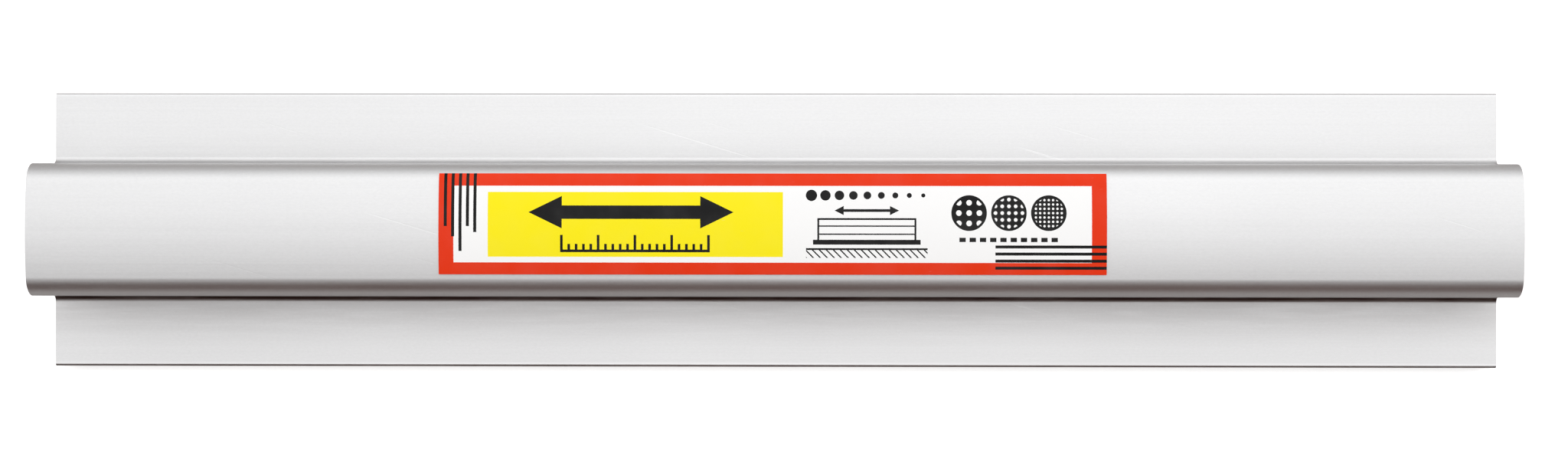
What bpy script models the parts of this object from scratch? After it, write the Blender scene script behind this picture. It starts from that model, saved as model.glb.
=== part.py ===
# Sanding stick: a hollow aluminium sanding bar with a stuck-on abrasive strip below and a label on top.
#
# Metres. X runs along the bar, Y across it and Z up. The bar stands on its abrasive face, and the
# centre of that face is the origin. Every piece is one straight extrusion along X, so each is made
# from an outline in the YZ plane.

from math import asin, atan2, ceil, cos, pi, radians, sin, sqrt

import bmesh
import bpy

# Sanding bar: one aluminium extrusion, a flat sole with a hollow waisted grip standing on it.
bar_length = 0.2794
sole_width = 0.0530
sole_thickness = 0.0020
sole_edge_radius = 0.0005
grip_height = 0.0180  # from the sole's top to the ridge of the crown
grip_width = 0.0250  # across the shoulders
crown_radius = 0.0720
shoulder_radius = 0.0040
waist_width = 0.0155  # at the narrowest place between the two finger grooves
foot_width = 0.0256  # across the grip where it stands on the sole
foot_height = 0.0023
foot_corner_radius = 0.0008
root_fillet_radius = 0.0013
wall_thickness = 0.0015  # crown, shoulders and webs
hollow_corner_radius = 0.0008

# Abrasive strip: grain on a paper backing, held to the sole by an adhesive film.
strip_side_margin = 0.0011  # sole left bare along each long edge
strip_end_margin = 0.0010
grain_thickness = 0.0004
paper_thickness = 0.0003
adhesive_thickness = 0.0002

# Label: printed vinyl wrapped over the crown, a little nearer the +Y shoulder.
label_length = 0.1244
label_width = 0.0187  # along the curved surface
label_shift = 0.0011  # its middle, measured along the surface from the ridge
label_thickness = 0.0002

bond_gap = 0.0003  # between pieces that are stuck to each other
arc_step = radians(7.5)  # the most that one facet of a round stretch turns
crown_facet = 0.0006  # the longest facet across the crown and the label
sharp_edge = radians(30)  # edges that turn more than this are shaded sharp

# Heights of the stack, from the abrasive face up.
grain_top = grain_thickness
paper_bottom = grain_top + bond_gap
paper_top = paper_bottom + paper_thickness
adhesive_bottom = paper_top + bond_gap
adhesive_top = adhesive_bottom + adhesive_thickness
sole_bottom = adhesive_top + bond_gap
sole_top = sole_bottom + sole_thickness
ridge = sole_top + grip_height


def arc(center, radius, start, end):
    """Points on an arc in the YZ plane, both ends included, with angles measured from +Y towards +Z."""
    steps = max(1, ceil(abs(end - start) / arc_step))
    angles = [start + (end - start) * i / steps for i in range(steps + 1)]
    return [(center[0] + radius * cos(a), center[1] + radius * sin(a)) for a in angles]


def bearing(start, end):
    """The angle at which one point sees another."""
    return atan2(end[1] - start[1], end[0] - start[0])


def mirrored(half):
    """A closed outline from its +Y half, which runs from the bottom up."""
    return half + [(-y, z) for y, z in reversed(half)]


# The crown's arc runs into the shoulder's from inside, so their centres are crown_radius less
# shoulder_radius apart.
shoulder_y = grip_width / 2 - shoulder_radius
crown_center = (0.0, ridge - crown_radius)
crown_angle = asin(shoulder_y / (crown_radius - shoulder_radius))
shoulder_center = (shoulder_y, crown_center[1] + (crown_radius - shoulder_radius) * cos(crown_angle))
foot_center = (foot_width / 2 - foot_corner_radius, sole_top + foot_height - foot_corner_radius)


def groove_circle():
    """Centre and radius of the finger groove: the circle that just touches the waist and the round of
    the shoulder above it and of the foot below it.

    With the groove's radius r, its centre is up_run below the shoulder's centre and down_run above
    the foot's. Pythagoras gives up_run**2 = upper * (2 * r + upper_rest), and the same for down_run,
    and both runs add up to the rise between the two centres. That leaves one quadratic in up_run.
    """
    waist = waist_width / 2
    rise = shoulder_center[1] - foot_center[1]
    upper = shoulder_radius + shoulder_center[0] - waist
    lower = foot_corner_radius + foot_center[0] - waist
    upper_rest = shoulder_radius - shoulder_center[0] + waist
    lower_rest = foot_corner_radius - foot_center[0] + waist
    square = lower / upper - 1
    constant = lower * (lower_rest - upper_rest) - rise**2
    up_run = -constant / (rise + sqrt(rise**2 - square * constant))
    radius = (up_run**2 / upper - upper_rest) / 2
    return (waist + radius, shoulder_center[1] - up_run), radius


groove_center, groove_radius = groove_circle()
groove_to_shoulder = bearing(groove_center, shoulder_center)
shoulder_start = groove_to_shoulder - pi  # where the shoulder's round leaves the groove
shoulder_end = pi / 2 - crown_angle  # where it meets the crown


def crown_half(radius):
    """The crown's +Y half, from the shoulder to the ridge, without its first point."""
    steps = ceil(radius * crown_angle / crown_facet)
    angles = [shoulder_end + crown_angle * i / steps for i in range(1, steps)]
    return [(crown_center[0] + radius * cos(a), crown_center[1] + radius * sin(a)) for a in angles]


def bar_outline():
    edge_y = sole_width / 2 - sole_edge_radius
    fillet_center = (foot_width / 2 + root_fillet_radius, sole_top + root_fillet_radius)
    foot_to_groove = bearing(foot_center, groove_center)
    half = arc((edge_y, sole_bottom + sole_edge_radius), sole_edge_radius, -pi / 2, 0)
    half += arc((edge_y, sole_top - sole_edge_radius), sole_edge_radius, 0, pi / 2)
    half += arc(fillet_center, root_fillet_radius, -pi / 2, -pi)
    half += arc(foot_center, foot_corner_radius, 0, foot_to_groove)
    half += arc(groove_center, groove_radius, foot_to_groove + pi, groove_to_shoulder)[1:-1]
    half += arc(shoulder_center, shoulder_radius, shoulder_start, shoulder_end)
    return mirrored(half + crown_half(crown_radius))


def hollow_outline():
    """The open channel inside the grip: the outline's own arcs one wall further in, down to the sole's
    top, where a corner round touches the floor and the web."""
    web_radius = groove_radius + wall_thickness
    corner_z = sole_top + hollow_corner_radius
    reach = web_radius + hollow_corner_radius
    corner_y = groove_center[0] - sqrt(reach**2 - (groove_center[1] - corner_z) ** 2)
    corner_center = (corner_y, corner_z)
    corner_to_groove = bearing(corner_center, groove_center)
    half = arc(corner_center, hollow_corner_radius, -pi / 2, corner_to_groove)
    half += arc(groove_center, web_radius, corner_to_groove + pi, groove_to_shoulder)[1:-1]
    half += arc(shoulder_center, shoulder_radius - wall_thickness, shoulder_start, shoulder_end)
    return mirrored(half + crown_half(crown_radius - wall_thickness))


def over_crown(along, rise):
    """The point a distance along the crown from its ridge, over the shoulder if it is that far, and
    rise above the metal."""
    crown_reach = crown_radius * crown_angle
    side = 1 if along > 0 else -1
    if abs(along) <= crown_reach:
        angle = along / crown_radius
        center, radius = crown_center, crown_radius + rise
    else:
        angle = side * (crown_angle + (abs(along) - crown_reach) / shoulder_radius)
        center, radius = (side * shoulder_y, shoulder_center[1]), shoulder_radius + rise
    return center[0] + radius * sin(angle), center[1] + radius * cos(angle)


def label_outline():
    steps = ceil(label_width / crown_facet)
    places = [label_shift + label_width * (i / steps - 0.5) for i in range(steps + 1)]
    below = [over_crown(place, bond_gap) for place in places]
    above = [over_crown(place, bond_gap + label_thickness) for place in reversed(places)]
    return below + above


def slab_outline(width, bottom, top):
    return [(-width / 2, bottom), (width / 2, bottom), (width / 2, top), (-width / 2, top)]


def material(name, color, roughness, metallic):
    made = bpy.data.materials.new(name)
    made.use_nodes = True
    shader = made.node_tree.nodes["Principled BSDF"]
    shader.inputs["Base Color"].default_value = (*color, 1)
    shader.inputs["Roughness"].default_value = roughness
    shader.inputs["Metallic"].default_value = metallic
    made.diffuse_color = (*color, 1)
    return made


def extrusion(name, outlines, length, made_of):
    """One solid along X, centred on X = 0. Outlines after the first are channels right through it."""
    mesh = bmesh.new()
    edges = []
    for outline in outlines:
        corners = [mesh.verts.new((-length / 2, y, z)) for y, z in outline]
        edges += [mesh.edges.new(pair) for pair in zip(corners, corners[1:] + corners[:1])]
    end = bmesh.ops.triangle_fill(mesh, edges=edges, use_beauty=True, normal=(-1, 0, 0))
    faces = [item for item in end["geom"] if isinstance(item, bmesh.types.BMFace)]
    far = bmesh.ops.extrude_face_region(mesh, geom=faces, use_keep_orig=True)
    moved = [item for item in far["geom"] if isinstance(item, bmesh.types.BMVert)]
    bmesh.ops.translate(mesh, verts=moved, vec=(length, 0, 0))
    bmesh.ops.recalc_face_normals(mesh, faces=mesh.faces)
    data = bpy.data.meshes.new(name)
    mesh.to_mesh(data)
    mesh.free()
    data.shade_smooth()
    data.set_sharp_from_angle(angle=sharp_edge)
    data.materials.append(made_of)
    piece = bpy.data.objects.new(name, data)
    bpy.context.scene.collection.objects.link(piece)
    return piece


for old in list(bpy.data.objects):
    bpy.data.objects.remove(old, do_unlink=True)

aluminium = material("satin_aluminium", (0.76, 0.76, 0.75), 0.34, 1.0)
vinyl = material("printed_vinyl", (0.87, 0.06, 0.02), 0.32, 0.0)
adhesive = material("adhesive", (0.62, 0.56, 0.42), 0.55, 0.0)
paper = material("backing_paper", (0.46, 0.33, 0.18), 0.85, 0.0)
grain = material("abrasive_grain", (0.22, 0.10, 0.05), 0.9, 0.0)

strip_width = sole_width - 2 * strip_side_margin
strip_length = bar_length - 2 * strip_end_margin

extrusion("sanding_bar", [bar_outline(), hollow_outline()], bar_length, aluminium)
extrusion("adhesive_film", [slab_outline(strip_width, adhesive_bottom, adhesive_top)], strip_length, adhesive)
extrusion("backing_paper", [slab_outline(strip_width, paper_bottom, paper_top)], strip_length, paper)
extrusion("abrasive_grain", [slab_outline(strip_width, 0.0, grain_top)], strip_length, grain)
extrusion("label", [label_outline()], label_length, vinyl)
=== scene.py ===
from math import asin, atan2, ceil, cos, pi, radians, sin, sqrt, tan

import bmesh
import bpy
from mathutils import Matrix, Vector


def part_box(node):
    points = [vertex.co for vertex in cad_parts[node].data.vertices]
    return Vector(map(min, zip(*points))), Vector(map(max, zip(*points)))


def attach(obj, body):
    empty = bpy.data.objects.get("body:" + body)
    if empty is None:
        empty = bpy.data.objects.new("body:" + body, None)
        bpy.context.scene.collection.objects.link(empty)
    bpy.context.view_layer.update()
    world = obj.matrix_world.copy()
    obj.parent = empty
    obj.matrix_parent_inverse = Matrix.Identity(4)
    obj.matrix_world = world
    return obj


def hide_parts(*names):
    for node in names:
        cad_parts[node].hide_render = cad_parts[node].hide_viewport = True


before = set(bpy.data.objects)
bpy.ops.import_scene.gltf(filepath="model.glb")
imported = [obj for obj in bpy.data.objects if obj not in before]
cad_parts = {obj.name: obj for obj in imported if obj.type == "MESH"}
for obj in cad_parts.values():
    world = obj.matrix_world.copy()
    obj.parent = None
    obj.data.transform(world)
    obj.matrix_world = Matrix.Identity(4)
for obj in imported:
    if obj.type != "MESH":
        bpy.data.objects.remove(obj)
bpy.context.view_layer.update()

stage = {
    "eyeHeight": 0.450,  # above the sole's top
    "viewWidth": 0.3041,  # what the view spans at that level
    "aim": (0.0020, 0.00042),
    "lean": radians(0.62),  # the camera stands a little to the right and looks back
    "roll": radians(0.06),
    "sensor": 36.0,
    "floorSize": 6.0,
    "floorPale": ((0.90, 0.90, 0.895), (0.93, 0.93, 0.93)),  # as the eye sees it
    "floorShade": (0.42, 0.395, 0.385),  # the floor as the metal mirrors it
    "floorGlow": (0.5, 0.5, 0.5),  # keeps it white to the eye
    "skyLevel": 2.00,  # straight above
    "skySlope": 0.61,  # how much brighter the sky grows towards +X
    "skyFall": 8.0,  # and how it falls off towards both ends
    "skyLeast": 0.88,  # but never below this
    "sides": (0.42, 0.62),  # where the light at both ends of the bar takes over, as the sine from above
    "sideLight": (0.80, 2.15),  # its radiance near the floor and high up
    "sideRise": (0.28, 0.52),  # where it goes from one to the other, as the sine from the floor
    "sideTurn": (-0.60, 0.08),  # and where it comes up from sideShade, as the sine from -Y to +Y
    "sideShade": 0.03,
}


class Wire:
    # An output socket that takes Python's arithmetic and adds the Math nodes for it.
    def __init__(self, graph, socket):
        self.graph = graph
        self.socket = socket

    def math(self, operation, *values):
        return self.graph.math(operation, *values)

    def __add__(self, other):
        return self.math("ADD", self, other)

    def __radd__(self, other):
        return self.math("ADD", other, self)

    def __sub__(self, other):
        return self.math("SUBTRACT", self, other)

    def __rsub__(self, other):
        return self.math("SUBTRACT", other, self)

    def __mul__(self, other):
        return self.math("MULTIPLY", self, other)

    def __rmul__(self, other):
        return self.math("MULTIPLY", other, self)

    def __truediv__(self, other):
        return self.math("DIVIDE", self, other)

    def __rtruediv__(self, other):
        return self.math("DIVIDE", other, self)

    def __pow__(self, other):
        return self.math("POWER", self, other)

    def __neg__(self):
        return self.math("MULTIPLY", self, -1.0)

    def __abs__(self):
        return self.math("ABSOLUTE", self)

    def __gt__(self, other):
        return self.math("GREATER_THAN", self, other)

    def __lt__(self, other):
        return self.math("LESS_THAN", self, other)

    def least(self, other):
        return self.math("MINIMUM", self, other)

    def most(self, other):
        return self.math("MAXIMUM", self, other)

    def within(self, low, high):
        return (self > low) * (self < high)

    def ramp(self, low, high, bottom=0.0, top=1.0):
        settings = {"clamp": True, "interpolation_type": "SMOOTHSTEP"}
        inputs = {"Value": self, "From Min": low, "From Max": high, "To Min": bottom, "To Max": top}
        return self.graph.add("ShaderNodeMapRange", settings, inputs)

    def stretched(self, x, y, z):
        # A place for a texture at scale 1, whose features repeat x, y and z times per metre.
        return self.graph.add("ShaderNodeVectorMath", {"operation": "MULTIPLY"}, {0: self, 1: (x, y, z)})

    def parts(self):
        node = self.graph.add("ShaderNodeSeparateXYZ", {}, {0: self}).socket.node
        return [Wire(self.graph, socket) for socket in node.outputs]


class Graph:
    # A node tree under construction. Every node comes from add().
    def __init__(self, tree):
        self.tree = tree

    def add(self, kind, settings=None, inputs=None, output=0):
        node = self.tree.nodes.new(kind)
        row, column = divmod(len(self.tree.nodes), 24)
        node.location = (190 * column, -220 * row)  # rows that can be read in the node editor
        for name, value in (settings or {}).items():
            if name == "stops":
                self.setStops(node.color_ramp, value)
            else:
                setattr(node, name, value)
        for name, value in (inputs or {}).items():
            self.feed(node.inputs[name], value)
        return Wire(self, node.outputs[output]) if len(node.outputs) else None

    def math(self, operation, *values):
        return self.add("ShaderNodeMath", {"operation": operation}, dict(enumerate(values)))

    def setStops(self, ramp, stops):
        while len(ramp.elements) < len(stops):
            ramp.elements.new(1.0)
        for element, (place, color) in zip(ramp.elements, stops):
            element.position = place
            element.color = opaque(color)

    def feed(self, socket, value):
        if isinstance(value, Wire):
            self.tree.links.new(value.socket, socket)
        elif value is not None:
            socket.default_value = value

    def mixed(self, factor, below, above, blend="MIX"):
        settings = {"data_type": "RGBA", "blend_type": blend}
        inputs = {0: factor, 6: opaque(below), 7: opaque(above)}  # 6 and 7 are the colours, and output 2 too
        return self.add("ShaderNodeMix", settings, inputs, 2)

    def noise(self, place, scale=1.0, detail=2.0, roughness=0.5):
        inputs = {"Vector": place, "Scale": scale, "Detail": detail, "Roughness": roughness}
        return self.add("ShaderNodeTexNoise", {}, inputs)

    def cells(self, place, scale, output="Distance"):
        return self.add("ShaderNodeTexVoronoi", {}, {"Vector": place, "Scale": scale}, output)

    def bump(self, height, distance, strength):
        return self.add("ShaderNodeBump", {}, {"Height": height, "Distance": distance, "Strength": strength})


def opaque(color):
    return (*color, 1.0) if isinstance(color, tuple) and len(color) == 3 else color


def gray(graph, value):
    return graph.add("ShaderNodeCombineColor", {}, {0: value, 1: value, 2: value})


def combined(graph, x, y, z=None):
    return graph.add("ShaderNodeCombineXYZ", {}, {0: x, 1: y, 2: z})


def surface(name, paint):
    # A material whose Principled shader gets what paint(graph, place) returns; place is in metres.
    material = bpy.data.materials.new(name)
    material.use_nodes = True
    graph = Graph(material.node_tree)
    shader = material.node_tree.nodes["Principled BSDF"]
    place = graph.add("ShaderNodeTexCoord", {}, {}, "Object")
    for socket, value in paint(graph, place).items():
        graph.feed(shader.inputs[socket], opaque(value))
    return material


def geometryTree(name, sizes):
    # An empty Geometry Nodes tree with a geometry input, and a named input for each size.
    tree = bpy.data.node_groups.new(name, "GeometryNodeTree")
    tree.interface.new_socket("Geometry", in_out="INPUT", socket_type="NodeSocketGeometry")
    for title, kind in sizes.items():
        tree.interface.new_socket(title, in_out="INPUT", socket_type="NodeSocket" + kind)
    tree.interface.new_socket("Geometry", in_out="OUTPUT", socket_type="NodeSocketGeometry")
    graph = Graph(tree)
    source = graph.add("NodeGroupInput").socket.node
    return graph, {socket.name: Wire(graph, socket) for socket in source.outputs if socket.name}


def closeTree(graph, shape, *coats):
    # Ends a tree: instances made real, then each coat's material, on all of the shape or on a selection.
    shape = graph.add("GeometryNodeRealizeInstances", {}, {0: shape})
    for material, selection in coats:
        inputs = {0: shape, "Selection": selection, "Material": material}
        shape = graph.add("GeometryNodeSetMaterial", {}, inputs)
    graph.add("NodeGroupOutput", {}, {0: shape})
    return graph.tree


def link(piece):
    bpy.context.scene.collection.objects.link(piece)
    return piece


def evaluated(piece):
    graph = bpy.context.evaluated_depsgraph_get()
    shape = piece.evaluated_get(graph)
    return bpy.data.meshes.new_from_object(shape, preserve_all_data_layers=True, depsgraph=graph)


def grow(name, tree, values, start=None):
    # Runs a tree on a start mesh and keeps the result as a plain mesh.
    seed = link(bpy.data.objects.new(name + "Seed", start or bpy.data.meshes.new(name + "Start")))
    modifier = seed.modifiers.new("grow", "NODES")
    modifier.node_group = tree
    for item in tree.interface.items_tree:
        if item.in_out == "INPUT" and item.name in values:
            modifier[item.identifier] = values[item.name]
    mesh = evaluated(seed)
    mesh.name = name
    bpy.data.objects.remove(seed)
    return link(bpy.data.objects.new(name, mesh))


def edgesBroken(piece, width, angle):
    # Rounds every edge that is sharper than angle, and leaves no modifier on the piece.
    bevel = piece.modifiers.new("bevel", "BEVEL")
    bevel.width = width
    bevel.segments = 2
    bevel.limit_method = "ANGLE"
    bevel.angle_limit = angle
    shading = piece.modifiers.new("shading", "WEIGHTED_NORMAL")
    shading.keep_sharp = True
    mesh = evaluated(piece)
    piece.modifiers.clear()
    piece.data = mesh
    return piece


# Sanding bar: one extrusion, its section made of rounds that run into each other.
barSizes = {
    "soleThickness": 0.0020,
    "soleEdge": 0.0005,
    "gripWidth": 0.0250,
    "crownRadius": 0.0720,
    "shoulderRadius": 0.0040,
    "waistWidth": 0.0155,
    "footWidth": 0.0256,
    "footHeight": 0.0023,
    "footCorner": 0.0008,
    "rootFillet": 0.0013,
    "wall": 0.0015,
    "channelCorner": 0.0008,
    "turn": radians(4),  # what one facet of a round turns
    "crownFacet": 0.0010,
    "deburr": 0.00016,  # the saw cut's edges, broken by hand
    "deburrAngle": radians(60),
    "sawAxle": (0.050, -0.110),  # the blade's centre, across the bar and up
}

barColors = {
    "metal": (0.698, 0.698, 0.702),
    # painted highlight along the sole's long edges, also standing for rubbed metal
    "rubbedAndHighlit": (0.82, 0.82, 0.825),
    # painted shade at the grip's root
    "paintedRootShade": (0.085, 0.05, 0.04),
    # painted shade along the sole's -Y edge
    "paintedEdgeShade": (0.17, 0.14, 0.125),
    "channel": ((0.61, 0.61, 0.60), (0.49, 0.49, 0.48)),
    "sawn": ((0.53, 0.53, 0.53), (0.79, 0.79, 0.79)),
}

# Marks of use, with painted shade and a painted highlight among them. A pair of distances is where a mark
# begins and ends, from the line that it follows.
barWearAndPaintedLight = {
    "rootLine": (0.0004, 0.0012),  # painted shade in the root, darkest here
    "rootLineDepth": 0.86,
    "rootHaze": (0.001, 0.011),  # and fainter on the sole beside it, also painted shade
    "rootHazeDepth": 0.22,
    "rootFar": 0.22,  # share of both on the +Y side, towards the light
    # painted highlight along the sole's long edges, also standing for rubbed metal
    "rubAndHighlight": (0.0010, 0.0005),
    "rubAndHighlightFar": 0.25,
    # painted shade along the sole's -Y edge
    "paintedEdgeShade": (0.00034, 0.00016),
    "soleBand": 0.0003,  # up to here above the sole the metal is handled less and brighter
    "soleTone": 0.05,
}


def arc(center, radius, start, end):
    steps = max(1, ceil(abs(end - start) / barSizes["turn"]))
    angles = [start + (end - start) * i / steps for i in range(steps + 1)]
    return [(center[0] + radius * cos(a), center[1] + radius * sin(a)) for a in angles]


def bearing(start, end):
    return atan2(end[1] - start[1], end[0] - start[0])


def mirrored(half):
    return half + [(-y, z) for y, z in reversed(half)]


class BarSection:
    # Centres and angles of the section's rounds, in the YZ plane, from barSizes and the frame's box.
    def __init__(self, sizes, box):
        low, high = box
        self.sizes = sizes
        self.length = high[0] - low[0]
        self.soleHalf = high[1]
        self.bottom = low[2]
        self.soleTop = low[2] + sizes["soleThickness"]
        self.crownCenter = (0.0, high[2] - sizes["crownRadius"])
        shoulderY = sizes["gripWidth"] / 2 - sizes["shoulderRadius"]
        between = sizes["crownRadius"] - sizes["shoulderRadius"]
        self.crownAngle = asin(shoulderY / between)
        self.shoulder = (shoulderY, self.crownCenter[1] + between * cos(self.crownAngle))
        footZ = self.soleTop + sizes["footHeight"] - sizes["footCorner"]
        self.foot = (sizes["footWidth"] / 2 - sizes["footCorner"], footZ)
        self.placeGroove()
        self.toShoulder = bearing(self.groove, self.shoulder)

    def placeGroove(self):
        # The finger groove's round touches the waist, the shoulder's round and the foot's.
        waist = self.sizes["waistWidth"] / 2
        rise = self.shoulder[1] - self.foot[1]
        upper = self.sizes["shoulderRadius"] + self.shoulder[0] - waist
        lower = self.sizes["footCorner"] + self.foot[0] - waist
        upperRest = self.sizes["shoulderRadius"] - self.shoulder[0] + waist
        lowerRest = self.sizes["footCorner"] - self.foot[0] + waist
        square = lower / upper - 1
        constant = lower * (lowerRest - upperRest) - rise**2
        upRun = -constant / (rise + sqrt(rise**2 - square * constant))
        self.grooveRadius = (upRun**2 / upper - upperRest) / 2
        self.groove = (waist + self.grooveRadius, self.shoulder[1] - upRun)

    def upperHalf(self, inset):
        # Shoulder and crown, up to just before the ridge.
        shoulderRadius = self.sizes["shoulderRadius"] - inset
        crownRadius = self.sizes["crownRadius"] - inset
        crownStart = pi / 2 - self.crownAngle
        half = arc(self.shoulder, shoulderRadius, self.toShoulder - pi, crownStart)
        steps = ceil(crownRadius * self.crownAngle / self.sizes["crownFacet"])
        for i in range(1, steps):
            angle = crownStart + self.crownAngle * i / steps
            half.append((crownRadius * cos(angle), self.crownCenter[1] + crownRadius * sin(angle)))
        return half

    def outside(self):
        edge, fillet = self.sizes["soleEdge"], self.sizes["rootFillet"]
        edgeY = self.soleHalf - edge
        filletCenter = (self.sizes["footWidth"] / 2 + fillet, self.soleTop + fillet)
        footToGroove = bearing(self.foot, self.groove)
        half = arc((edgeY, self.bottom + edge), edge, -pi / 2, 0)
        half += arc((edgeY, self.soleTop - edge), edge, 0, pi / 2)
        half += arc(filletCenter, fillet, -pi / 2, -pi)
        half += arc(self.foot, self.sizes["footCorner"], 0, footToGroove)
        half += arc(self.groove, self.grooveRadius, footToGroove + pi, self.toShoulder)[1:-1]
        return mirrored(half + self.upperHalf(0.0))

    def channel(self):
        wall, corner = self.sizes["wall"], self.sizes["channelCorner"]
        webRadius = self.grooveRadius + wall
        cornerZ = self.soleTop + corner
        cornerY = self.groove[0] - sqrt((webRadius + corner) ** 2 - (self.groove[1] - cornerZ) ** 2)
        toGroove = bearing((cornerY, cornerZ), self.groove)
        half = arc((cornerY, cornerZ), corner, -pi / 2, toGroove)
        half += arc(self.groove, webRadius, toGroove + pi, self.toShoulder)[1:-1]
        return mirrored(half + self.upperHalf(wall))


def outlineMesh(name, outlines):
    # Closed loops of edges in the XY plane; the attribute "channel" is 1 on every loop but the first.
    points, edges, marks = [], [], []
    for number, outline in enumerate(outlines):
        first = len(points)
        points += [(y, z, 0.0) for y, z in outline]
        edges += [(first + i, first + (i + 1) % len(outline)) for i in range(len(outline))]
        marks += [min(number, 1)] * len(outline)
    mesh = bpy.data.meshes.new(name)
    mesh.from_pydata(points, edges, [])
    mesh.attributes.new("channel", "FLOAT", "POINT").data.foreach_set("value", marks)
    return mesh


weldDistance = 0.000001  # points closer than this become one


def thickened(graph, face, height):
    # Draws a flat face up by height and closes it below.
    drawn = graph.add("GeometryNodeExtrudeMesh", {}, {
        "Mesh": face, "Offset": (0.0, 0.0, 1.0), "Offset Scale": height, "Individual": False})
    below = graph.add("GeometryNodeFlipFaces", {}, {0: face})
    both = graph.add("GeometryNodeJoinGeometry")
    for part in (below, drawn):
        graph.tree.links.new(part.socket, both.socket.node.inputs[0])
    return graph.add("GeometryNodeMergeByDistance", {}, {0: both, "Distance": weldDistance})


def extrusionTree():
    # Fills the outlines, draws them out to Length and lays the result along X, centred.
    sizes = {"Length": "Float", "Skin": "Material", "Channel": "Material", "Cut": "Material"}
    graph, given = geometryTree("extrusion", sizes)
    loops = graph.add("GeometryNodeMeshToCurve", {}, {0: given["Geometry"]})
    face = graph.add("GeometryNodeFillCurve", {}, {0: loops})
    solid = thickened(graph, face, given["Length"])
    y, z, x = graph.add("GeometryNodeInputPosition").parts()
    laid = combined(graph, x - given["Length"] / 2, y, z)
    bar = graph.add("GeometryNodeSetPosition", {}, {0: solid, "Position": laid})
    return graph, given, bar


section = BarSection(barSizes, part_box("sanding_bar"))
print("bar section: groove radius", round(section.grooveRadius * 1000, 3), "mm")


def dieLines(graph, place):
    # Lines that the die leaves along the bar: broad and faint, then fine, from 0 to 1.
    broad = graph.noise(place.stretched(5, 1500, 1500), 1.0, 3.0, 0.62)
    fine = graph.noise(place.stretched(28, 7000, 7000), 1.0, 2.0, 0.6)
    return broad, fine


def awayFromLight(y, far):
    # 1 on the -Y side, away from the light, and far on the +Y side.
    return far + (y < 0.0) * (1 - far)


def paintedRootShade(graph, place):
    # Painted shade where the grip's foot meets the sole, strongest on the -Y side, away from the light.
    _, y, z = place.parts()
    away = ((abs(y) - barSizes["footWidth"] / 2) ** 2.0 + (z - section.soleTop) ** 2.0) ** 0.5
    patches = graph.noise(place.stretched(60, 900, 900), 1.0, 3.0, 0.65).ramp(0.25, 0.6, 0.6, 0.97)
    rootShadeLine = away.ramp(*barWearAndPaintedLight["rootLine"], barWearAndPaintedLight["rootLineDepth"], 0.0)
    haze = away.ramp(*barWearAndPaintedLight["rootHaze"], barWearAndPaintedLight["rootHazeDepth"], 0.0)
    return (rootShadeLine + haze) * patches * awayFromLight(y, barWearAndPaintedLight["rootFar"])


def rubbedAndHighlit(graph, place):
    # The sole's long edges, rubbed bright by handling, with a painted highlight along them that is strongest
    # on the -Y side.
    y = place.parts()[1]
    begin, end = barWearAndPaintedLight["rubAndHighlight"]
    patches = graph.noise(place.stretched(40, 400, 400), 1.0, 3.0, 0.6).ramp(0.2, 0.6, 0.6, 1.0)
    strip = abs(y).ramp(section.soleHalf - begin, section.soleHalf - end)
    return strip * patches * awayFromLight(y, barWearAndPaintedLight["rubAndHighlightFar"])


def paintedEdgeShade(graph, place):
    # Painted shade along the sole's edge on the -Y side, away from the light.
    y = place.parts()[1]
    begin, end = barWearAndPaintedLight["paintedEdgeShade"]
    patches = graph.noise(place.stretched(90, 700, 700), 1.0, 3.0, 0.6).ramp(0.2, 0.65, 0.55, 0.95)
    return (-y).ramp(section.soleHalf - begin, section.soleHalf - end) * patches


def paintSkin(graph, place):
    # Satin clear-anodised metal: die lines, mottled grain, handling marks and hairline scratches, with
    # painted shade at the grip's root and along the sole's -Y edge, and a painted highlight along the sole's
    # long edges.
    broad, fine = dieLines(graph, place)
    mottle = graph.noise(place.stretched(1500, 2600, 2600), 1.0, 2.0, 0.6)
    handled = graph.noise(place.stretched(18, 45, 45), 1.0, 3.0, 0.55)
    turned = graph.add("ShaderNodeMapping", {}, {"Vector": place, "Rotation": (0.0, 0.0, radians(17))})
    hairs = graph.noise(turned.stretched(30, 2600, 60), 1.0, 1.0, 0.4).ramp(0.745, 0.78)
    sole = place.parts()[2] < section.soleTop + barWearAndPaintedLight["soleBand"]
    tone = 0.90 + broad * 0.06 + fine * 0.03 + mottle * 0.11 + sole * barWearAndPaintedLight["soleTone"]
    color = graph.mixed(1.0, barColors["metal"], gray(graph, tone), "MULTIPLY")
    # painted highlight along the sole's long edges, also standing for rubbed metal
    color = graph.mixed(rubbedAndHighlit(graph, place), color, barColors["rubbedAndHighlit"])
    # painted shade at the grip's root, darkest on the -Y side
    color = graph.mixed(paintedRootShade(graph, place), color, barColors["paintedRootShade"])
    # painted shade along the sole's -Y edge
    color = graph.mixed(paintedEdgeShade(graph, place), color, barColors["paintedEdgeShade"])
    rough = 0.37 + broad * 0.06 + mottle * 0.05 + handled * 0.07 - hairs * 0.08
    height = broad * 0.55 + fine * 0.3 + mottle * 0.25 - hairs * 0.5
    return {
        "Base Color": color,
        "Metallic": 1.0,
        "Roughness": rough,
        "Normal": graph.bump(height, 0.000016, 0.75),
    }


def paintChannel(graph, place):
    # Inside the channel: the same metal, duller, with heavier die lines.
    broad, fine = dieLines(graph, place)
    stain = graph.noise(place.stretched(22, 240, 240), 1.0, 4.0, 0.6)
    color = graph.mixed(stain.ramp(0.35, 0.75), *barColors["channel"])
    return {
        "Base Color": color,
        "Metallic": 1.0,
        "Roughness": 0.42 + broad * 0.14,
        "Normal": graph.bump(broad + fine * 0.4, 0.00003, 0.6),
    }


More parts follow.
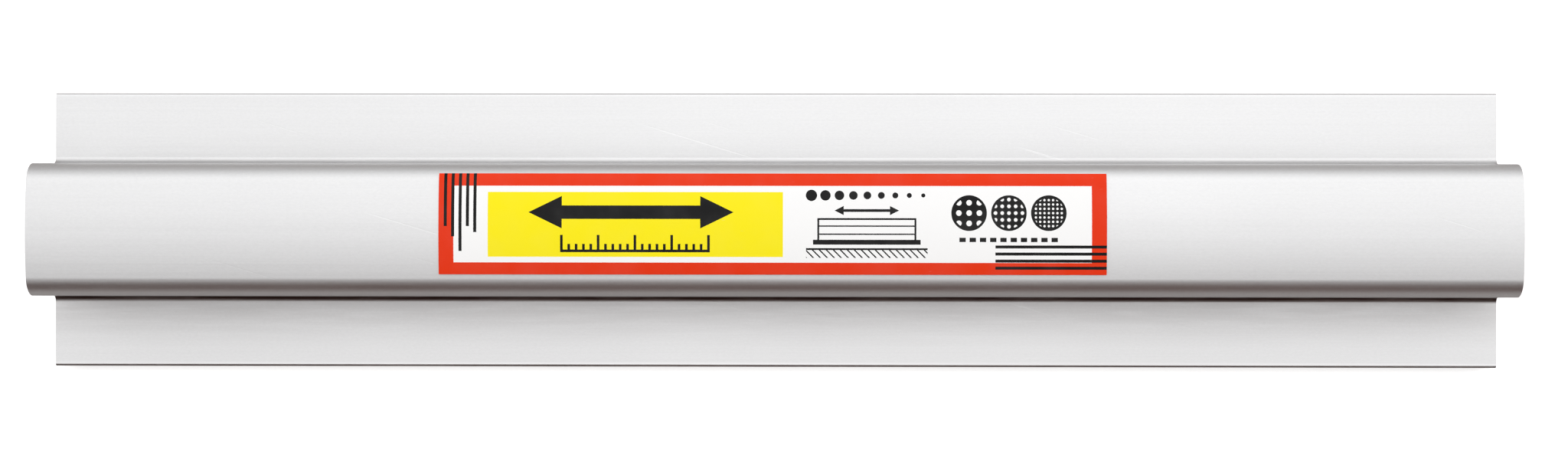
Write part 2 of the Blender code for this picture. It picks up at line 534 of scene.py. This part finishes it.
def paintCut(graph, place):
    # Sawn ends: fine arcs left by the blade, uneven from one to the next, with a few deeper ones.
    _, y, z = place.parts()
    axleY, axleZ = barSizes["sawAxle"]
    reach = ((y - axleY) ** 2.0 + (z - axleZ) ** 2.0) ** 0.5
    turn = graph.math("ARCTAN2", z - axleZ, y - axleY)
    path = combined(graph, reach * 9000, turn * 9)
    arcs = graph.noise(path, 1.0, 3.0, 0.65)
    deep = graph.noise(path, 0.32, 1.0).ramp(0.56, 0.72)
    grain = graph.noise(place, 5200.0, 2.0)
    color = graph.mixed(arcs * 0.7 + grain * 0.3, *barColors["sawn"])
    return {
        "Base Color": color,
        "Metallic": 1.0,
        "Roughness": 0.36 + grain * 0.16,
        "Normal": graph.bump(arcs * 0.8 + grain * 0.25 - deep * 0.5, 0.00003, 0.7),
    }


def makeBar():
    graph, given, bar = extrusionTree()
    smooth = graph.add("GeometryNodeSetShadeSmooth", {}, {0: bar})
    mark = graph.add("GeometryNodeInputNamedAttribute", {"data_type": "FLOAT"}, {"Name": "channel"})
    along = graph.add("GeometryNodeInputNormal").parts()[0]
    inside, sawn = mark > 0.99, abs(along) > 0.7  # sawn faces look along the bar
    tree = closeTree(graph, smooth, (given["Skin"], None), (given["Channel"], inside), (given["Cut"], sawn))
    values = {
        "Length": section.length,
        "Skin": surface("satinAluminium", paintSkin),
        "Channel": surface("channelAluminium", paintChannel),
        "Cut": surface("sawnAluminium", paintCut),
    }
    outlines = outlineMesh("barOutlines", [section.outside(), section.channel()])
    return edgesBroken(grow("bar", tree, values, outlines), barSizes["deburr"], barSizes["deburrAngle"])


bar = makeBar()
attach(bar, "root")
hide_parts("sanding_bar")
print("bar", len(bar.data.polygons), "faces")


# Label: a printed vinyl sheet wrapped over the crown. The print's sizes are millimetres from its middle,
# and its rectangles are left, right, low and high.
labelSizes = {
    "shift": 0.0011,  # along the surface, from the ridge
    "back": 0.0003,  # heights above the metal of the film's back and of its print
    "face": 0.0005,
    "glueInset": 0.00015,
    "glueGap": 0.00002,  # between the glue and the metal
    "around": 44,  # points that follow the curve
    "along": 9,
    "edge": 0.00005,  # its cut edges, rounded
    "edgeAngle": radians(50),
    "creep": 0.06,  # how far the ink strays at an edge
    "borderAcross": 2.25,
    "borderAlong": 2.8,
    "panel": (-53.0, 2.0, -6.05, 5.95),
    "bars": {"first": -61.2, "pitch": 1.375, "width": 0.58, "bottoms": (-0.4, -2.3, -5.0, -0.4, -1.5)},
    "lines": {"first": -8.35, "pitch": 1.31, "width": 0.56, "count": 4, "left": 41.5},
    "arrow": {"left": -45.4, "right": -7.2, "middle": 2.2, "head": 6.2, "headHalf": 3.0, "shaftHalf": 1.25},
    "scale": {"left": -39.5, "right": -11.6, "base": -5.2, "line": 0.5},
    "ticks": {"pitch": 1.37, "share": 0.36, "minor": 1.55, "major": 3.2, "every": 5},
    "grits": {"left": 7.3, "pitch": 2.6, "count": 9, "middle": 5.35, "largest": 1.05, "smallest": 0.38},
    "discs": {"centers": (36.6, 44.0, 51.4), "middle": 2.1, "radius": 3.3, "rim": 0.45},
    "holes": {"pitches": (1.9, 1.25, 0.8), "share": 0.274},  # radius as a share of the pitch
    "dashes": {"across": (34.8, 53.6, -3.25, -2.45), "pitch": 1.9, "share": 0.62},
    "sideView": {"sole": (7.6, 27.6, -3.75, -2.85), "grip": (8.4, 26.8, -2.85, 1.15), "line": 0.35},
    "waist": {"heights": (-0.45, -1.95), "line": 0.25},
    "ground": {"across": (6.3, 28.9, -4.75, -4.4), "hatch": 1.45, "pitch": 1.3, "share": 0.26},
    "stroke": {"left": 11.6, "right": 23.6, "middle": 2.55, "head": 1.7, "headHalf": 0.85, "shaftHalf": 0.26},
    "red": (0.79, 0.033, 0.001),
    "white": (0.96, 0.96, 0.955),
    "yellow": (0.98, 0.84, 0.003),
    "black": (0.003, 0.0028, 0.0032),
    "scuff": (0.75, 0.74, 0.72),
    "glue": ((0.60, 0.55, 0.42), (0.74, 0.70, 0.58)),
}

labelLow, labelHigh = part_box("label")
labelLength = labelHigh[0] - labelLow[0]


def widthOverCrown():
    # The label's width along the surface, from how far across it reaches on the crown's far side.
    radius = barSizes["crownRadius"] + labelSizes["face"]
    reach = asin(-labelLow[1] / radius) * barSizes["crownRadius"]
    return 2 * (reach + labelSizes["shift"])


labelWidth = widthOverCrown()


def wrapTree():
    # A flat sheet, wrapped over crown and shoulders between two heights above the metal.
    sizes = {"Length": "Float", "Width": "Float", "Shift": "Float", "Low": "Float", "High": "Float",
             "Along": "Int", "Around": "Int", "Material": "Material"}
    graph, given = geometryTree("wrap", sizes)
    sheet = graph.add("GeometryNodeMeshGrid", {}, {
        "Size X": given["Length"], "Size Y": given["Width"],
        "Vertices X": given["Along"], "Vertices Y": given["Around"]})
    solid = thickened(graph, sheet, given["High"] - given["Low"])
    x, y, z = graph.add("GeometryNodeInputPosition").parts()
    flat = combined(graph, x * 1000, y * 1000)  # the print's millimetres
    mapped = graph.add("GeometryNodeStoreNamedAttribute", {"data_type": "FLOAT2", "domain": "CORNER"}, {
        0: solid, "Name": "printMap", "Value": flat})
    along = y + given["Shift"]
    side = graph.math("SIGN", along)
    crownRadius, shoulderRadius = barSizes["crownRadius"], barSizes["shoulderRadius"]
    crownReach = crownRadius * section.crownAngle
    beyond = (abs(along) - crownReach).most(0.0)
    onShoulder = beyond > 0.0
    angle = abs(along).least(crownReach) / crownRadius + beyond / shoulderRadius
    centerY = onShoulder * section.shoulder[0]
    centerZ = section.crownCenter[1] + onShoulder * (section.shoulder[1] - section.crownCenter[1])
    radius = crownRadius + onShoulder * (shoulderRadius - crownRadius) + given["Low"] + z
    wrappedY = side * (centerY + radius * graph.math("SINE", angle))
    wrapped = combined(graph, x, wrappedY, centerZ + radius * graph.math("COSINE", angle))
    bent = graph.add("GeometryNodeSetPosition", {}, {0: mapped, "Position": wrapped})
    smooth = graph.add("GeometryNodeSetShadeSmooth", {}, {0: bent})
    return closeTree(graph, smooth, (given["Material"], None))


def block(u, v, left, right, low, high):
    return u.within(left, right) * v.within(low, high)


def doubleArrow(u, v, left, right, middle, head, headHalf, shaftHalf):
    tip = (u - left).least(right - u)  # distance from the nearer point
    onShaft = tip > head
    half = tip * (headHalf / head) * (1 - onShaft) + onShaft * shaftHalf
    return (abs(v - middle) < half) * (tip > 0.0)


def printScale(graph, u, v):
    # Ticks like a ruler's, every fifth one longer, on a base line.
    scale, ticks = labelSizes["scale"], labelSizes["ticks"]
    base = scale["base"]
    step = (u - scale["left"]) / ticks["pitch"]
    major = graph.math("FRACT", (step + 0.5) / ticks["every"]) < 1 / ticks["every"]
    height = base + ticks["minor"] + major * (ticks["major"] - ticks["minor"])
    ink = (graph.math("FRACT", step) < ticks["share"]) * (v < height)
    area = block(u, v, scale["left"], scale["right"], base, base + ticks["major"])
    return area * ink.most(v < base + scale["line"])


def printStripes(graph, u, v):
    # Upright bars at the left end and level lines at the right.
    bars, lines = labelSizes["bars"], labelSizes["lines"]
    step = (v - lines["first"]) / lines["pitch"]
    row = (graph.math("FRACT", step) < lines["width"] / lines["pitch"]) * step.within(0, lines["count"])
    ink = row * (u > lines["left"])
    for number, bottom in enumerate(bars["bottoms"]):
        left = bars["first"] + number * bars["pitch"]
        ink = u.within(left, left + bars["width"]) * (v > bottom) + ink
    return ink


def printGrits(graph, u, v):
    # A row of dots, from a coarse grit to a fine one.
    grits = labelSizes["grits"]
    shrink = (grits["largest"] - grits["smallest"]) / (grits["count"] - 1)
    step = (u - grits["left"]) / grits["pitch"] + 0.5
    number = graph.math("FLOOR", step)
    far = ((u - grits["left"] - number * grits["pitch"]) ** 2.0 + (v - grits["middle"]) ** 2.0) ** 0.5
    return (far < grits["largest"] - number * shrink) * step.within(0, grits["count"])


def printDiscs(graph, u, v):
    # Three discs with holes that get finer, over a row of dashes.
    discs, holes, dashes = labelSizes["discs"], labelSizes["holes"], labelSizes["dashes"]
    dash = graph.math("FRACT", (u - dashes["across"][0]) / dashes["pitch"]) < dashes["share"]
    ink = dash * block(u, v, *dashes["across"])
    for center, pitch in zip(discs["centers"], holes["pitches"]):
        far = ((u - center) ** 2.0 + (v - discs["middle"]) ** 2.0) ** 0.5
        holeU = graph.math("FRACT", (u - center) / pitch + 0.5) - 0.5
        holeV = graph.math("FRACT", (v - discs["middle"]) / pitch + 0.5) - 0.5
        hole = (holeU ** 2.0 + holeV ** 2.0) < holes["share"] ** 2
        ink = ink + (far < discs["radius"]) * (1 - hole * (far < discs["radius"] - discs["rim"]))
    return ink


def printSideView(graph, u, v):
    # The bar from its side on a hatched surface, with an arrow for the stroke.
    view, waist, ground = labelSizes["sideView"], labelSizes["waist"], labelSizes["ground"]
    left, right, low, high = view["grip"]
    inside = (left + view["line"], right - view["line"])
    ink = block(u, v, *view["sole"]) + block(u, v, *view["grip"])
    ink = ink - block(u, v, *inside, low, high - view["line"])
    for height in waist["heights"]:
        ink = ink + block(u, v, *inside, height, height + waist["line"])
    groundLeft, groundRight, groundLow, _ = ground["across"]
    hatched = block(u, v, groundLeft, groundRight, groundLow - ground["hatch"], groundLow)
    hatch = (graph.math("FRACT", (u + v) / ground["pitch"]) < ground["share"]) * hatched
    return ink + block(u, v, *ground["across"]) + hatch + doubleArrow(u, v, **labelSizes["stroke"])


def paintLabel(graph, place):
    red, white, yellow, black = (labelSizes[name] for name in ("red", "white", "yellow", "black"))
    flat = graph.add("ShaderNodeUVMap", {"uv_map": "printMap"})
    ragged = (graph.noise(flat, 9.0, 2.0) - 0.5) * labelSizes["creep"]
    u, v, _ = flat.parts()
    u, v = u + ragged, v + ragged
    right = labelLength * 500 - labelSizes["borderAlong"]  # 500 halves it and makes it millimetres
    high = labelWidth * 500 - labelSizes["borderAcross"]
    color = graph.mixed(block(u, v, -right, right, -high, high), red, white)
    color = graph.mixed(block(u, v, *labelSizes["panel"]), color, yellow)
    ink = doubleArrow(u, v, **labelSizes["arrow"])
    for part in (printStripes, printScale, printGrits, printDiscs, printSideView):
        ink = ink + part(graph, u, v)
    ink = ink.least(1.0)
    color = graph.mixed(ink, color, black)
    cloud = graph.noise(place, 160.0, 3.0)
    scuffs = graph.noise(place.stretched(300, 1500, 1500), 1.0, 3.0, 0.7).ramp(0.70, 0.76)
    color = graph.mixed(cloud.ramp(0.3, 0.8) * 0.02 + scuffs * 0.10, color, labelSizes["scuff"])
    peel = graph.noise(place, 1700.0, 2.0)
    return {
        "Base Color": color,
        "Roughness": 0.30 + cloud * 0.08 + scuffs * 0.18 - ink * 0.05,
        "Specular IOR Level": 0.13,
        "Normal": graph.bump(peel * 0.5 - ink * 0.15, 0.00002, 0.35),
    }


def paintGlue(graph, place):
    haze = graph.noise(place, 900.0, 3.0)
    color = graph.mixed(haze, *labelSizes["glue"])
    return {"Base Color": color, "Roughness": 0.45 + haze * 0.2, "Normal": graph.bump(haze, 0.00003, 0.5)}


wrap = wrapTree()
glue = surface("glue", paintGlue)
vinyl = surface("printedVinyl", paintLabel)


def makeWrap(name, inset, low, high, material):
    piece = grow(name, wrap, {
        "Length": labelLength - 2 * inset, "Width": labelWidth - 2 * inset, "Shift": labelSizes["shift"],
        "Low": low, "High": high, "Along": labelSizes["along"], "Around": labelSizes["around"],
        "Material": material})
    edgesBroken(piece, labelSizes["edge"], labelSizes["edgeAngle"])
    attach(piece, "root")
    return piece


label = makeWrap("label_vinyl", 0.0, labelSizes["back"], labelSizes["face"], vinyl)
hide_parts("label")
labelGlue = makeWrap("label_glue", labelSizes["glueInset"], labelSizes["glueGap"], labelSizes["back"], glue)
print("label", round(labelLength * 1000, 1), "by", round(labelWidth * 1000, 2), "mm")


# Abrasive strip: adhesive film, backing paper and the coat of grain, from the sole down.
stripSizes = {
    "columns": 150,  # points along a layer
    "rows": 20,
    "wander": 0.00012,  # how far a cut edge strays
    "filmWander": 0.00024,
    "wanderPowers": (60.0, 12.0),  # along and across; they keep the wander within 10 mm of an edge
    "layerGap": 0.00002,
    "grainProud": 0.00020,  # how far the grain stands out of its resin
    "grainDensity": 1050000,  # per square metre
    "grainSmallest": 0.00017,
    "grainLargest": 0.00034,
    "seed": 7,
}

stripColors = {
    "paper": ((0.36, 0.24, 0.13), (0.56, 0.42, 0.26)),
    "fleck": (0.20, 0.13, 0.07),
    "resin": ((0.085, 0.036, 0.018), (0.27, 0.13, 0.068)),
    # painted glints on some of the resin's fine grains
    "paintedResinGlint": (0.55, 0.42, 0.32),
    "resinGap": (0.045, 0.018, 0.009),
    "grain": ((0.12, 0.045, 0.020), (0.42, 0.22, 0.12)),
    # painted glints on the grains
    "paintedGrainGlint": (0.62, 0.50, 0.40),
}


def layerTree():
    # A thin sheet between two heights, with edges that wander a little as a knife leaves them.
    sizes = {"Length": "Float", "Width": "Float", "Low": "Float", "High": "Float", "Wander": "Float",
             "Columns": "Int", "Rows": "Int", "Phase": "Float", "Material": "Material"}
    graph, given = geometryTree("layer", sizes)
    sheet = graph.add("GeometryNodeMeshGrid", {}, {
        "Size X": given["Length"], "Size Y": given["Width"],
        "Vertices X": given["Columns"], "Vertices Y": given["Rows"]})
    solid = thickened(graph, sheet, given["High"] - given["Low"])
    x, y, z = graph.add("GeometryNodeInputPosition").parts()
    powerX, powerY = stripSizes["wanderPowers"]
    edgeX = (abs(x) / (given["Length"] / 2)) ** powerX
    edgeY = (abs(y) / (given["Width"] / 2)) ** powerY
    place = combined(graph, x + given["Phase"], y, given["Phase"])
    stray = graph.noise(place, 90.0, 3.0, 0.6).ramp(0.25, 0.75) * given["Wander"]
    movedX = x - graph.math("SIGN", x) * edgeX * stray
    movedY = y - graph.math("SIGN", y) * edgeY * stray
    moved = combined(graph, movedX, movedY, z + given["Low"])
    placed = graph.add("GeometryNodeSetPosition", {}, {0: solid, "Position": moved})
    return closeTree(graph, placed, (given["Material"], None))


def grainTree():
    # Crushed grains scattered on the resin's face, every one an octahedron pulled out of shape.
    sizes = {"Length": "Float", "Width": "Float", "Face": "Float", "Floor": "Float", "Density": "Float",
             "Smallest": "Float", "Largest": "Float", "Seed": "Int", "Material": "Material"}
    graph, given = geometryTree("grain", sizes)
    sheet = graph.add("GeometryNodeMeshGrid", {}, {
        "Size X": given["Length"] - given["Largest"] * 2, "Size Y": given["Width"] - given["Largest"] * 2,
        "Vertices X": 2, "Vertices Y": 2})
    spots = graph.add("GeometryNodeDistributePointsOnFaces", {}, {
        0: sheet, "Density": given["Density"], "Seed": given["Seed"]})
    grain = graph.add("GeometryNodeMeshUVSphere", {}, {"Segments": 4, "Rings": 2, "Radius": 1.0})
    turn = graph.add("FunctionNodeRandomValue", {"data_type": "FLOAT_VECTOR"}, {
        0: (0.0, 0.0, 0.0), 1: (2 * pi, 2 * pi, 2 * pi), "Seed": given["Seed"]})
    low, high = (combined(graph, given[name], given[name], given[name]) for name in ("Smallest", "Largest"))
    size = graph.add("FunctionNodeRandomValue", {"data_type": "FLOAT_VECTOR"}, {
        0: low, 1: high, "Seed": given["Seed"] + 1})
    grains = graph.add("GeometryNodeInstanceOnPoints", {}, {
        "Points": spots, "Instance": grain, "Rotation": turn, "Scale": size})
    solid = graph.add("GeometryNodeRealizeInstances", {}, {0: grains})
    x, y, z = graph.add("GeometryNodeInputPosition").parts()
    cropped = combined(graph, x, y, (z + given["Face"]).most(given["Floor"]))
    placed = graph.add("GeometryNodeSetPosition", {}, {0: solid, "Position": cropped})
    return closeTree(graph, placed, (given["Material"], None))


def paintPaper(graph, place):
    # Kraft paper: long fibres and a few dark flecks.
    fibres = graph.noise(place.stretched(900, 5200, 5200), 1.0, 3.0, 0.65)
    flecks = graph.noise(place, 2600.0, 2.0).ramp(0.66, 0.74)
    color = graph.mixed(fibres, *stripColors["paper"])
    color = graph.mixed(flecks * 0.6, color, stripColors["fleck"])
    return {"Base Color": color, "Roughness": 0.8 + fibres * 0.12, "Normal": graph.bump(fibres, 0.00004, 0.7)}


def paintResin(graph, place):
    # Fine grains bedded in dark resin, which fills the gaps between the large ones; some fine grains get a
    # painted glint.
    fineness = 5600.0
    far = graph.cells(place, fineness)
    crystal, paintedGlint, _ = graph.cells(place, fineness, "Color").parts()
    shade = graph.noise(place, 420.0, 3.0)
    gaps = far.ramp(0.35, 0.75)
    color = graph.mixed(crystal, *stripColors["resin"])
    # painted glints
    color = graph.mixed(paintedGlint.ramp(0.90, 0.96) * 0.7, color, stripColors["paintedResinGlint"])
    color = graph.mixed(gaps * (0.45 + shade * 0.5), color, stripColors["resinGap"])
    return {"Base Color": color, "Roughness": 0.45 + shade * 0.3, "Normal": graph.bump(1 - far, 0.00014, 0.9)}


def paintGrain(graph, place):
    # Brown aluminium oxide: every crystal its own tone, with small painted glints.
    crystal, paintedGlint, _ = graph.cells(place, 1900.0, "Color").parts()
    facet = graph.noise(place, 6500.0, 2.0)
    color = graph.mixed(crystal.ramp(0.1, 0.9), *stripColors["grain"])
    # painted glints
    color = graph.mixed(paintedGlint.ramp(0.86, 0.93) * 0.8, color, stripColors["paintedGrainGlint"])
    return {
        "Base Color": color,
        "Roughness": 0.62 - facet * 0.32,
        "Normal": graph.bump(facet, 0.00005, 0.6),
    }


layer = layerTree()


def underside(node):
    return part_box(node)[0][2]


def makeLayer(name, node, top, wander, material):
    low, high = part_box(node)
    piece = grow(name, layer, {
        "Length": high[0] - low[0], "Width": high[1] - low[1], "Low": low[2], "High": top,
        "Wander": wander, "Columns": stripSizes["columns"], "Rows": stripSizes["rows"],
        "Phase": low[2] * 1000, "Material": material})
    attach(piece, "root")
    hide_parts(node)
    return piece


filmTop = section.bottom - stripSizes["layerGap"]
film = makeLayer("adhesive_sheet", "adhesive_film", filmTop, stripSizes["filmWander"], glue)
paperTop = underside("adhesive_film") - stripSizes["layerGap"]
kraft = surface("kraftPaper", paintPaper)
paper = makeLayer("paper_sheet", "backing_paper", paperTop, stripSizes["wander"], kraft)
print("strip: film and paper", len(film.data.polygons) + len(paper.data.polygons), "faces")


def makeGrit():
    # The resin layer and the grains in it become one piece.
    low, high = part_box("abrasive_grain")
    face = low[2] + stripSizes["grainProud"]
    top = underside("backing_paper") - stripSizes["layerGap"]
    size = {"Length": high[0] - low[0], "Width": high[1] - low[1]}
    resin = grow("grit", layer, {
        **size, "Low": face, "High": top, "Wander": stripSizes["wander"], "Columns": stripSizes["columns"],
        "Rows": stripSizes["rows"], "Phase": 0.3, "Material": surface("resin", paintResin)})
    grains = grow("grains", grainTree(), {
        **size, "Face": face, "Floor": low[2], "Density": stripSizes["grainDensity"],
        "Smallest": stripSizes["grainSmallest"], "Largest": stripSizes["grainLargest"],
        "Seed": stripSizes["seed"], "Material": surface("aluminiumOxide", paintGrain)})
    return joined(resin, grains)


def joined(piece, other):
    # Adds other's mesh, with its materials, to piece.
    shift = len(piece.data.materials)
    for material in other.data.materials:
        piece.data.materials.append(material)
    both = bmesh.new()
    both.from_mesh(piece.data)
    first = len(both.faces)
    both.from_mesh(other.data)
    both.faces.ensure_lookup_table()
    for face in both.faces[first:]:
        face.material_index += shift
    both.to_mesh(piece.data)
    both.free()
    bpy.data.objects.remove(other)
    return piece


grit = makeGrit()
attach(grit, "root")
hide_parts("abrasive_grain")
print("strip: grit", len(grit.data.polygons), "faces")


def paintFloor(graph, place):
    # Pale to the eye, and greyer in the metal's reflections, as a sweep that is lit from above only.
    seen = graph.add("ShaderNodeLightPath", {}, {}, "Is Camera Ray")
    pale = graph.mixed(graph.noise(place, 3.0, 2.0), *stage["floorPale"])
    return {
        "Base Color": graph.mixed(seen, stage["floorShade"], pale),
        "Roughness": 0.9,
        "Emission Color": graph.mixed(seen, (0.0, 0.0, 0.0), stage["floorGlow"]),
        "Emission Strength": 1.0,
    }


def layFloor():
    half = stage["floorSize"] / 2
    corners = [(-half, -half, 0.0), (half, -half, 0.0), (half, half, 0.0), (-half, half, 0.0)]
    mesh = bpy.data.meshes.new("floor")
    mesh.from_pydata(corners, [], [(0, 1, 2, 3)])
    floor = link(bpy.data.objects.new("floor", mesh))
    mesh.materials.append(surface("paleFloor", paintFloor))


# The sky by the angle around the bar: -90 is level at -Y, 0 is overhead, 90 level at +Y.
skyStops = [
    (-90, (0.045, 0.012, 0.006)),
    (-52, (0.045, 0.012, 0.006)),
    (-33, (0.040, 0.017, 0.012)),
    (-18, (0.445, 0.439, 0.438)),
    (-6, (0.79, 0.79, 0.79)),
    (5, (0.97, 0.97, 0.97)),
    (18, (0.895, 0.895, 0.895)),
    (40, (0.90, 0.90, 0.90)),
    (60, (0.70, 0.70, 0.70)),
    (90, (0.34, 0.34, 0.34)),
]


def lightStudio():
    # The sky gives all of the light. It is white to the eye, and the metal mirrors skyStops.
    world = bpy.data.worlds.new("softStudio")
    bpy.context.scene.world = world
    world.use_nodes = True
    graph = Graph(world.node_tree)
    x, y, z = graph.add("ShaderNodeTexCoord", {}, {}, "Generated").parts()
    around = graph.math("ARCTAN2", y, z) / pi + 0.5
    stops = [(angle / 180 + 0.5, color) for angle, color in skyStops]
    sky = graph.add("ShaderNodeValToRGB", {"stops": stops}, {0: around})
    level = (x * stage["skySlope"] + stage["skyLevel"] - x * x * stage["skyFall"]).most(stage["skyLeast"])
    sky = graph.mixed(1.0, sky, gray(graph, level), "MULTIPLY")
    side = z.ramp(*stage["sideRise"], *stage["sideLight"]) * y.ramp(*stage["sideTurn"], stage["sideShade"])
    sky = graph.mixed(abs(x).ramp(*stage["sides"]), sky, gray(graph, side))
    seen = graph.add("ShaderNodeLightPath", {}, {}, "Is Camera Ray")
    background = world.node_tree.nodes["Background"]
    graph.feed(background.inputs["Color"], graph.mixed(seen, sky, (1.0, 1.0, 1.0)))


def placeCamera():
    data = bpy.data.cameras.new("camera")
    data.sensor_width = stage["sensor"]
    data.lens = stage["sensor"] * stage["eyeHeight"] / stage["viewWidth"]
    camera = link(bpy.data.objects.new("camera", data))
    aimX, aimY = stage["aim"]
    eyeX = aimX + stage["eyeHeight"] * tan(stage["lean"])
    camera.location = (eyeX, aimY, section.soleTop + stage["eyeHeight"])
    camera.rotation_euler = (0.0, stage["lean"], stage["roll"])
    bpy.context.scene.camera = camera
    bpy.context.scene.view_settings.view_transform = "Standard"


layFloor()
lightStudio()
placeCamera()
print("floor, sky and camera placed")
